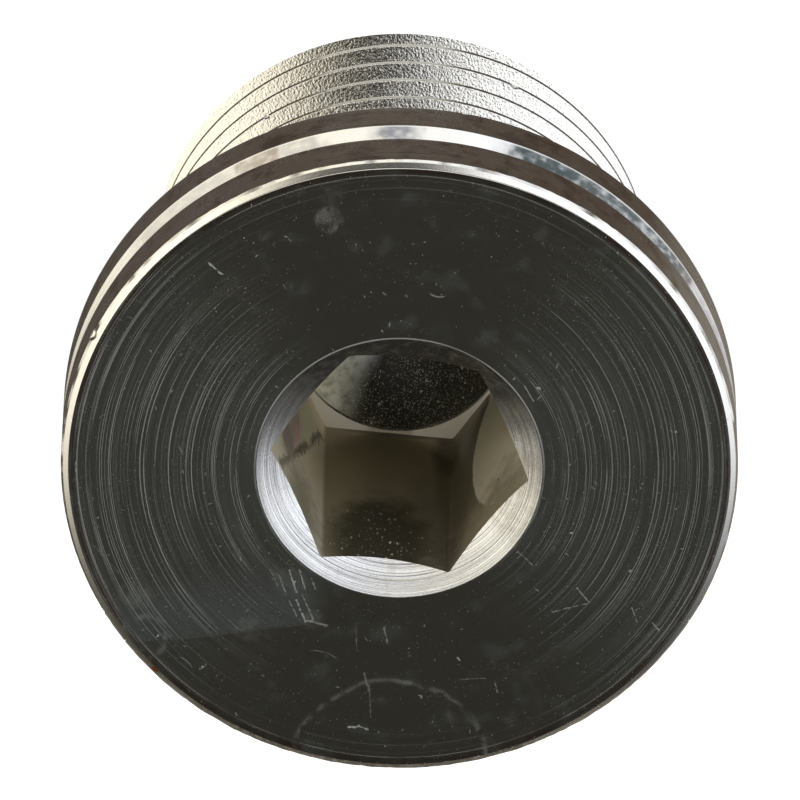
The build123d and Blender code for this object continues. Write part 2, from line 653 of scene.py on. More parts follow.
class Effects:
    """The node groups that the finishes share, built once. Their places are in millimetres."""

    def __init__(self) -> None:
        """Build every group, each input with its default."""
        self.trees: dict[str, Tree] = {}
        self.share("lathe_rings", self.rings, fineness=6.0, seed=0.0)
        self.share("metal_grain", self.grain, fineness=12.0, specks=0.1, crowding=1.0, radial=0.0)
        self.share("scratches", self.scratches, angle=0.0, length=1.3, width=0.05, share=0.2)
        self.share("haze", self.haze, size=3.0, seed=0.0, cover=0.5)
        self.share("stroke", self.stroke, start=(0.0, 0.0, 0.0), end=(1.0, 0.0, 0.0), width=0.06)
        self.share("drop_outline", self.drop, centre=(0.0, 0.0, 0.0), radius=1.0, width=0.1)
        self.share("sector", self.sector, angle=0.0, spread=20.0, softness=10.0, wander=0.0)
        self.share("spot_mask", self.spot_mask, centre=(0.0, 0.0, 0.0), size=(1.0, 1.0, 1.0), softness=0.3)
        self.share("dust", self.dust, fineness=2.0, share=0.3, size=1.0)

    def share(self, name: str, draw: Callable[..., Masks], **inputs: float | Triple) -> None:
        """Make a shared group of what one method draws.

        Args:
            name: Name of the group.
            draw: Method that takes a place and the inputs, and returns the outputs by name.
            **inputs: Defaults of the inputs, each a number or a vector.
        """
        tree = bpy.data.node_groups.new(name, "ShaderNodeTree")
        graph = Graph(tree)
        inputs = {"place": (0.0, 0.0, 0.0), **inputs}
        for label, value in inputs.items():
            kind = "NodeSocketVector" if isinstance(value, tuple) else "NodeSocketFloat"
            socket = tree.interface.new_socket(name=label.title(), in_out="INPUT", socket_type=kind)
            socket.default_value = value
        sources = tree.nodes.new("NodeGroupInput").outputs
        given = {
            label: (Way if isinstance(value, tuple) else Number)(graph, sources[label.title()])
            for label, value in inputs.items()
        }
        drawn = draw(**given)
        for label in drawn:
            tree.interface.new_socket(name=label, in_out="OUTPUT", socket_type="NodeSocketFloat")
        results = tree.nodes.new("NodeGroupOutput").inputs
        for label, term in drawn.items():
            graph.feed(results[label], term)
        self.trees[name] = tree

    @staticmethod
    def rings(place: Way, fineness: Number, seed: Number) -> Masks:
        """Lathe marks: fine rings, thin lines that break up along the turn, and a few bold ones.

        The rings lie by radius and height together, so that cones and cylinders have them too.
        """
        height = place.parts()[2]
        flat = place.level()
        lay = place.noise(0.2, 0.0).line(0.05, height.line(2.3, flat.length()))
        along = lay.line(fineness, seed)
        run = flat.normal() * (1.7, 1.7, 0.0) + place.graph.place(z=along * 0.45)
        lasting = run.noise(1.0).step(0.33, 0.58)
        coming = (run + (9.0, 0.0, 0.0)).noise(0.8).step(0.48, 0.60)
        thin = along.wave(1.0).step(0.50, 0.66)
        weight = along.line(0.21, 5.0).wave(1.0).blend(-0.4, 2.0)
        rare = along.line(0.8, 37.0).wave(0.0).step(0.69, 0.74)
        lines = place.graph.number("Math", {0: thin * lasting, 1: weight}, operation="MULTIPLY",
                                   use_clamp=True)
        return {"Height": along.wave(4.0), "Lines": lines, "Bold": rare * coming}

    @staticmethod
    def grain(
        place: Way, fineness: Number, specks: Number, crowding: Number, radial: Number
    ) -> Masks:
        """Fine grain with clusters of specks. Radial draws it out into streaks across the turns."""
        height = place.parts()[2]
        flat = place.level()
        outward = flat.normal().scaled(9.0)
        streaked = outward + place.graph.place(z=(height + flat.length()) * 0.3)
        inputs = {0: radial, 4: place, 5: streaked}
        drawn = place.graph.way("Mix", inputs, output=1, data_type="VECTOR")
        crowd = crowding.blend(1.0, place.noise(0.55, 4.0).step(0.34, 0.68))
        low = (crowd * specks).line(-0.22, 0.78)
        pale = place.noise(fineness * 1.3, 1.0).step(low, low + 0.05)
        return {"Height": drawn.noise(fineness), "Specks": pale}

    @staticmethod
    def scratches(
        place: Way, angle: Number, length: Number, width: Number, share: Number
    ) -> Masks:
        """Short thin scratches that lie near one direction."""
        graph = place.graph
        inputs = {"Vector": place, "Angle": place.noise(0.25, 0.0).line(2.6, angle)}
        x, y, z = graph.way("VectorRotate", inputs, rotation_type="Z_AXIS").parts()
        flat = graph.place(x / length, y / width * 0.1, z)
        cells = graph.node("TexVoronoi", {"Vector": flat, "Scale": 1.0}).outputs
        chance = graph.number("SeparateColor", {0: cells["Color"]})
        near = Number(graph, cells["Distance"]).step(0.12, 0.04)
        return {"Mask": near * (chance < share)}

    @staticmethod
    def haze(place: Way, size: Number, seed: Number, cover: Number) -> Masks:
        """Soft cloudy patches, as a thin film leaves."""
        low = cover.line(-0.3, 0.68)
        cloud = (place + place.graph.place(seed)).noise(size ** -1.0, 5.0)
        return {"Mask": cloud.step(low, low + 0.2)}

    @staticmethod
    def stroke(place: Way, start: Way, end: Way, width: Number) -> Masks:
        """One straight scratch between two points, with frayed sides."""
        run = end - start
        arm = place - start
        share = (arm.dot(run) / run.dot(run) | 0.0).math("MINIMUM", 1.0)
        gap = (arm - run.scaled(share)).length()
        fray = place.noise(7.0, 4.0).line(2.6, -0.8) * width
        solid = width * 0.15
        return {"Mask": (gap - fray).step(solid, solid * -2.5)}

    @staticmethod
    def drop(place: Way, centre: Way, radius: Number, width: Number) -> Masks:
        """The thin torn outline that a dried drop leaves, and what lies inside it."""
        sway = place.noise(0.6, 3.0).line(0.7, -0.35)
        away = place.measure("DISTANCE", centre) + sway
        line = abs(away - radius).step(width, 0.0)
        torn = place.noise(2.2, 3.0).step(0.35, 0.6)
        return {"Mask": line * torn, "Inside": away.step(radius, radius - 0.2)}

    @staticmethod
    def sector(
        place: Way, angle: Number, spread: Number, softness: Number, wander: Number
    ) -> Masks:
        """A share of the turn about the axis, with soft uneven ends."""
        turn = angle.math("RADIANS")
        aim = place.graph.place(turn.math("COSINE"), turn.math("SINE"))
        near = (place.level().normal().dot(aim) | -1.0).math("MINIMUM", 1.0)
        away = near.math("ARCCOSINE").math("DEGREES")
        away = (place.noise(1.1, 3.0) - 0.5).line(wander, away)
        return {"Mask": away.step(spread + softness, spread)}

    @staticmethod
    def spot_mask(place: Way, centre: Way, size: Way, softness: Number) -> Masks:
        """A spot of its own size in each direction, with a soft uneven edge, for stains and painted
        light alike.
        """
        away = ((place - centre) / size).length()
        away = (place.noise(1.6, 3.0) - 0.5).line(softness, away)
        return {"Mask": away.step(1.0, softness.line(-1.0, 1.0))}

    @staticmethod
    def dust(place: Way, fineness: Number, share: Number, size: Number) -> Masks:
        """Single specks of uneven size and shape, scattered over the X and Y of their place."""
        graph = place.graph
        inputs = {"Vector": place, "Scale": fineness * 2.2, "Detail": 2.0}
        warp = graph.way("TexNoise", inputs, output=1)
        warp = (warp - (0.5, 0.5, 0.5)) * (0.9, 0.9, 0.0)
        inputs = {"Vector": warp / fineness + place, "Scale": fineness}
        cells = graph.node("TexVoronoi", inputs, voronoi_dimensions="2D").outputs
        outputs = graph.node("SeparateColor", {0: cells["Color"]}).outputs
        chance, bulk, glint = (Number(graph, output) for output in outputs)
        crowd = place.noise(0.45, 3.0).step(0.40, 0.62)
        chosen = chance < share * crowd.line(0.8, 0.2)
        reach = (bulk ** 4.0).line(0.09, 0.03) * size
        speck = Number(graph, cells["Distance"]).step(reach, reach * 0.4)
        return {"Mask": speck * chosen * (glint ** 2.0).line(0.8, 0.2)}


@dataclass
class Coat:
    """One material while it is painted: its graph, and the masks and the colour laid on so far."""

    graph: Graph
    effects: Effects
    place: Way
    pale: Number | None = None
    film: Number | None = None
    colour: Term | None = None

    def use(self, effect: str, **inputs: object) -> Masks:
        """Place one shared effect, at the surface's own place unless another is given."""
        return self.graph.use(self.effects.trees[effect], **{"place": self.place, **inputs})

    def mask(self, effect: str, **inputs: object) -> Number:
        """Place one shared effect and return its mask."""
        return self.use(effect, **inputs)["Mask"]

    def lay_stain_or_light(self, mask: Number, strength: float, colour: Colour) -> None:
        """Lay a colour over the coat's own by a mask, as a stain or as painted light and shade."""
        self.colour = self.graph.tint(mask * strength, self.colour, colour)


@dataclass(frozen=True)
class Cloud:
    """A cloudy mask, by its noise's scale and detail and the values where it starts and is full."""

    scale: float
    detail: float
    low: float
    high: float

    def mask(self, place: Way) -> Number:
        """Return the mask over a place."""
        return place.noise(self.scale, self.detail).step(self.low, self.high)


@dataclass(frozen=True)
class Dust:
    """One layer of specks: how fine, what share of the places has one, how pale, how large."""

    fineness: float
    share: float
    strength: float
    size: float = 1.0

    def mask(self, coat: Coat, **inputs: object) -> Number:
        """Return the specks' mask."""
        specks = coat.mask(
            "dust", fineness=self.fineness, share=self.share, size=self.size, **inputs)
        return specks * self.strength


@dataclass(frozen=True)
class Patch:
    """A share of the turn in another colour, many of them painted shade and reflections: its middle
    angle, spread, strength and colour.
    """

    angle: float
    spread: float
    strength: float
    colour: Colour
    softness: float = 2.5
    wander: float = 8.0

    def lay(self, coat: Coat, within: Number) -> None:
        """Lay the patch on a coat, within a mask."""
        mask = coat.mask("sector", angle=self.angle, spread=self.spread, softness=self.softness,
                         wander=self.wander)
        coat.lay_stain_or_light(mask * within, self.strength, self.colour)


@dataclass(frozen=True)
class StainOrLight:
    """A spot of colour: where it lies, how far it reaches, and its colour. It serves for real
    stains such as rust, and on the socket's flats for painted reflections, highlights and shade.

    The place is an angle, a radius and a height; the reach is along the flat and up it. A dusty
    one has specks in it, which lie by width and height.
    """

    place: Triple
    reach: Spot
    colour: Colour
    strength: float = 1.0
    softness: float = 0.5
    dusty: bool = False

    def lay(self, coat: Coat) -> None:
        """Lay the spot's colour on a coat."""
        along, up = self.reach
        mask = coat.mask("spot_mask", centre=around(self.place), size=(along, along, up),
                         softness=self.softness)
        coat.lay_stain_or_light(mask, self.strength, self.colour)
        if self.dusty:
            x, _, z = coat.place.parts()
            specks = Dust(7.0, 1.2, 1.0, 3.6).mask(coat, place=coat.graph.place(x, z * 0.45))
            coat.pale |= specks * mask


@dataclass(frozen=True)
class Streak:
    """A dark line across a flat of the socket, laid as a painted dark reflection, between two
    places, each an angle, a radius and a height.
    """

    start: Triple
    end: Triple
    width: float
    colour: Colour
    strength: float = 1.0

    def lay(self, coat: Coat) -> None:
        """Lay the line on a coat."""
        mask = coat.mask("stroke", start=around(self.start), end=around(self.end),
                         width=self.width)
        coat.lay_stain_or_light(mask, self.strength, self.colour)


@dataclass(frozen=True)
class Finish:
    """How one surface of the plug is finished. Sizes are in millimetres."""

    name: str
    colour: Colour = (0.806, 0.766, 0.661)
    metallic: float = 1.0
    roughness: float = 0.20
    ring_fineness: float = 6.0
    ring_depth: float = 0.0
    lines: float = 0.0
    bold: float = 0.0
    grain_fineness: float = 14.0
    grain_depth: float = 0.0
    radial: float = 0.0
    specks: float = 0.0
    crowding: float = 1.0
    scratches: float = 0.0
    scratch_angles: Spot = (0.3, 1.9)
    scratch_strength: float = 0.6
    haze: float = 0.0
    haze_size: float = 2.0
    haze_colour: Colour = (0.71, 0.677, 0.613)
    haze_roughness: float = 0.16
    pale_colour: Colour = (1.0, 0.968, 0.871)
    pale_roughness: float = 0.30
    patches: tuple[Patch, ...] = ()
    patch_heights: Spot = (-1.0, 30.0)
    patch_fade: float = 0.06
    patch_cloud: float = 1.0
    patch_weave: Triple = (3.5, 3.5, 1.0)
    patch_mask: Cloud = Cloud(1.0, 4.0, 0.25, 0.6)
    stains_and_light: tuple[StainOrLight, ...] = ()
    streaks: tuple[Streak, ...] = ()
    dust: tuple[Dust, ...] = ()
    seed: float = 0.0

    def material(self, effects: Effects) -> bpy.types.Material:
        """Build the finish's material from the shared effects.

        Args:
            effects: The shared groups, which work in millimetres.

        Returns:
            The material.
        """
        material = bpy.data.materials.new(self.name)
        material.use_nodes = True
        graph = Graph(material.node_tree)
        source = graph.node("TexCoord").outputs["Object"]
        place = graph.way("Mapping", {"Vector": source, "Scale": (1 / MM,) * 3})
        coat = Coat(graph, effects, place)
        rings = coat.use("lathe_rings", fineness=self.ring_fineness, seed=self.seed)
        grain = coat.use("metal_grain", fineness=self.grain_fineness, specks=self.specks,
                         crowding=self.crowding, radial=self.radial)
        self.whiten(coat, rings, grain)
        coat.colour = graph.tint(coat.film, self.colour, self.haze_colour)
        self.lay_stains_and_light(coat)
        coat.colour = graph.tint(coat.pale, coat.colour, self.pale_colour)
        rough = coat.film.line(self.haze_roughness, self.roughness)
        inputs = {"Height": rings["Height"], "Distance": self.ring_depth * MM}
        normal = graph.way("Bump", inputs)
        inputs = {"Height": grain["Height"], "Distance": self.grain_depth * MM, "Normal": normal}
        shader = material.node_tree.nodes["Principled BSDF"].inputs
        shader["Metallic"].default_value = self.metallic
        graph.feed(shader["Base Color"], coat.colour)
        graph.feed(shader["Roughness"], coat.pale.line(self.pale_roughness, rough))
        graph.feed(shader["Normal"], graph.way("Bump", inputs))
        return material

    def whiten(self, coat: Coat, rings: Masks, grain: Masks) -> None:
        """Give the coat the masks of its film and of all its pale marks."""
        film = coat.mask("haze", size=self.haze_size, seed=self.seed, cover=self.haze)
        coat.film = film * self.haze
        coat.pale = self.turned(coat, rings)
        if self.specks:
            coat.pale |= grain["Specks"]
        for layer in self.dust:
            coat.pale |= layer.mask(coat)
        for angle in self.scratch_angles if self.scratches else ():
            line = coat.mask("scratches", angle=angle, share=self.scratches)
            coat.pale |= line * self.scratch_strength
        self.marks(coat)

    def turned(self, coat: Coat, rings: Masks) -> Number:
        """Return the mask of the lathe lines, which most surfaces have all round."""
        return rings["Lines"] * self.lines | rings["Bold"] * self.bold

    def marks(self, coat: Coat) -> None:
        """Add the marks that one surface alone has. Most have none."""

    def lay_stains_and_light(self, coat: Coat) -> None:
        """Lay the patches, within the heights that they keep to, then the streaks and spots: stains
        and painted light.
        """
        if self.patches:
            low, high = self.patch_heights
            height = coat.place.parts()[2]
            within = height.step(low, low + self.patch_fade)
            within *= height.step(high, high - self.patch_fade)
            cloud = self.patch_mask.mask(coat.place * self.patch_weave)
            within *= cloud.line(self.patch_cloud, 1 - self.patch_cloud)
            for patch in self.patches:
                patch.lay(coat, within)
        for mark in self.streaks + self.stains_and_light:
            mark.lay(coat)


@dataclass(frozen=True)
class FaceFinish(Finish):
    """The turned face, with its own scratches, smears, dried drops and wiped film, and with painted
    light: a sheen of lathe lines on two sides and a highlight at the mouth.

    A ring is given by its radius, half its width and its strength. A stroke is given by its two
    ends, its width and how pale it is; a smear and a drop by middle, radius and how pale it is.
    """

    height: float = HEAD_HEIGHT
    # A painted sheen: the lathe lines are strong on these two sides, where the turned face glints,
    # and faint elsewhere.
    sheen_sides: Spot = (8.0, 188.0)
    sheen_spread: float = 20.0
    sheen_softness: float = 50.0
    sheen_wander: float = 24.0
    lines_off_sheen: float = 0.08
    lasting: Cloud = Cloud(0.35, 3.0, 0.30, 0.55)
    rings: tuple[Triple, ...] = (
        (11.47, 0.030, 0.45), (11.30, 0.02, 0.15), (10.98, 0.03, 0.22), (10.55, 0.02, 0.14),
    )
    # A painted highlight: a thin pale ring at the mouth, kept to one side of the turn, where the
    # edge catches the light.
    mouth_highlight: Triple = (5.13, 0.04, 0.75)
    mouth_highlight_side: Triple = (-82.0, 75.0, 35.0)
    rim_stain: Triple = (11.66, 0.22, 0.8)
    rim_colour: Colour = (0.484, 0.347, 0.258)
    rim_cloud: Cloud = Cloud(0.9, 4.0, 0.30, 0.60)
    strokes: tuple[tuple[Spot, Spot, float, float], ...] = (
        ((7.83, -6.98), (7.32, -6.62), 0.07, 0.8),
        ((-6.94, 3.70), (-7.47, 4.22), 0.05, 0.6),
        ((-7.47, 4.22), (-6.21, 4.78), 0.05, 0.5),
        ((-4.66, 2.60), (-5.27, 3.07), 0.07, 0.5),
        ((3.28, 4.53), (2.90, 5.35), 0.06, 0.7),
        ((2.92, 4.47), (2.60, 5.23), 0.05, 0.6),
        ((2.86, 5.67), (2.41, 6.49), 0.07, 0.6),
        ((2.68, 5.44), (2.14, 6.36), 0.05, 0.5),
        ((7.06, 7.91), (1.93, 6.45), 0.04, 0.25),
        ((3.62, 4.75), (3.30, 5.40), 0.05, 0.5),
        ((3.95, 4.60), (3.60, 5.20), 0.04, 0.4),
        ((2.45, 4.75), (2.22, 5.20), 0.05, 0.5),
        ((3.10, 5.75), (2.75, 6.30), 0.05, 0.4),
        ((2.40, 6.42), (1.70, 6.50), 0.08, 0.6),
        ((0.60, 6.40), (0.45, 7.30), 0.04, 0.35),
        ((-0.40, 6.30), (-0.62, 6.95), 0.07, 0.45),
        ((0.05, 8.20), (-0.25, 8.90), 0.09, 0.45),
        ((-0.20, 8.60), (-0.45, 9.90), 0.06, 0.35),
        ((0.30, 10.42), (-0.10, 10.32), 0.10, 0.8),
        ((-0.10, 10.32), (-0.42, 10.40), 0.08, 0.7),
        ((-3.30, 7.95), (-4.25, 7.75), 0.04, 0.4),
        ((-4.60, 7.80), (-4.78, 8.25), 0.05, 0.5),
        ((-9.00, 4.20), (-9.25, 4.70), 0.05, 0.6),
        ((-9.80, 4.65), (-10.1, 4.95), 0.05, 0.7),
        ((-3.85, -3.95), (-4.30, -3.35), 0.05, 0.6),
        ((-2.55, -3.20), (-3.70, -2.75), 0.03, 0.5),
        ((0.60, -4.60), (0.52, -4.10), 0.05, 0.5),
        ((10.3, 4.60), (9.20, 5.60), 0.05, 0.30),
    )
    smears: tuple[tuple[Spot, float, float], ...] = (
        ((3.86, -9.25), 0.62, 0.34), ((3.87, -10.2), 0.50, 0.14), ((5.08, -10.25), 0.34, 0.12),
        ((6.05, -8.35), 0.34, 0.16), ((3.15, 5.05), 0.70, 0.10), ((2.15, 6.35), 0.50, 0.16),
        ((8.55, 6.30), 0.70, 0.16), ((4.35, 7.05), 0.55, 0.16),
    )
    fibre: Cloud = Cloud(5.0, 3.0, 0.3, 0.6)
    fibre_stretch: Triple = (1.0, 0.5, 1.0)
    drops: tuple[tuple[Spot, float, float], ...] = (
        ((-1.42, 11.69), 3.4, 0.32), ((7.95, 7.95), 0.80, 0.28), ((7.0, -4.6), 1.3, 0.10),
        ((-4.8, 8.9), 1.6, 0.08),
    )
    drop_width: float = 0.20
    film_corner: Spot = (7.06, 7.91)
    film_lean: Spot = (0.274, -0.962)
    film_edge: Spot = (0.0, 0.08)
    film_fade: Spot = (4.5, 1.0)
    film_end: Spot = (1.4, 2.6)
    film_strength: float = 0.75
    side_film: float = 0.45

    def turned(self, coat: Coat, rings: Masks) -> Number:
        """Return the mask of the lathe lines, strong on two sides of the face only as a painted
        sheen.
        """
        lines = super().turned(coat, rings)
        lasting = self.lasting.mask(coat.place)
        one, other = self.sides(coat, self.sheen_wander)
        lines = lines * (one | other).line(1 - self.lines_off_sheen, self.lines_off_sheen)
        for ring in self.rings:
            lines |= self.ring(coat, ring) * lasting
        # The pale ring at the mouth is a painted highlight, on one side only.
        angle, spread, softness = self.mouth_highlight_side
        side = coat.mask("sector", angle=angle, spread=spread, softness=softness)
        return lines | self.ring(coat, self.mouth_highlight) * (side * lasting.line(0.6, 0.4))

    def sides(self, coat: Coat, wander: float = 0.0) -> list[Number]:
        """Return the masks of the two sides of painted sheen, where the lathe lines are strong."""
        return [coat.mask("sector", angle=angle, spread=self.sheen_spread,
                          softness=self.sheen_softness, wander=wander)
                for angle in self.sheen_sides]

    @staticmethod
    def ring(coat: Coat, ring: Triple) -> Number:
        """Return the mask of one thin ring."""
        radius, width, strength = ring
        return abs(coat.place.level().length() - radius).step(width, width * 0.3) * strength

    def lay_stains_and_light(self, coat: Coat) -> None:
        """Darken the rim of the face unevenly, under its stains."""
        uneven = self.rim_cloud.mask(coat.place)
        coat.lay_stain_or_light(self.ring(coat, self.rim_stain) * uneven, 1.0, self.rim_colour)
        super().lay_stains_and_light(coat)

    def marks(self, coat: Coat) -> None:
        """Add the strokes, the smears, the drops' outlines and the film to the face's marks."""
        place = coat.place
        for start, end, width, strength in self.strokes:
            line = coat.mask("stroke", start=(*start, self.height), end=(*end, self.height),
                             width=width)
            coat.pale |= line * strength
        fibre = self.fibre.mask(place * self.fibre_stretch)
        for centre, radius, strength in self.smears:
            drop = coat.use("drop_outline", centre=(*centre, self.height), radius=radius)
            coat.pale |= drop["Inside"] * fibre * strength
        for centre, radius, strength in self.drops:
            drop = coat.use("drop_outline", centre=(*centre, self.height), radius=radius,
                            width=self.drop_width)
            coat.pale |= drop["Mask"] * strength
        above = (place - (*self.film_corner, self.height)).dot((*self.film_lean, 0.0))
        wiped = above.step(*self.film_edge) * above.step(*self.film_fade)
        wiped *= place.parts()[0].step(*self.film_end)
        coat.film |= wiped * self.film_strength
        # The film is laid on the two sides of painted sheen as well.
        for side in self.sides(coat):
            coat.film |= side * self.side_film


LILAC = (0.202, 0.21, 0.234)
DARK_GREY_GREEN = (0.081, 0.097, 0.089)
BROWN = (0.387, 0.323, 0.274)
# Dark colours of the painted reflections and shade on the socket's flats.
DARK_REFLECTION = (0.161, 0.145, 0.097)
UMBER = (0.081, 0.073, 0.048)
NEAR_BLACK = (0.048, 0.048, 0.032)
RUST = StainOrLight((51.0, 11.85, 18.95), (0.20, 0.16), (0.806, 0.274, 0.081))

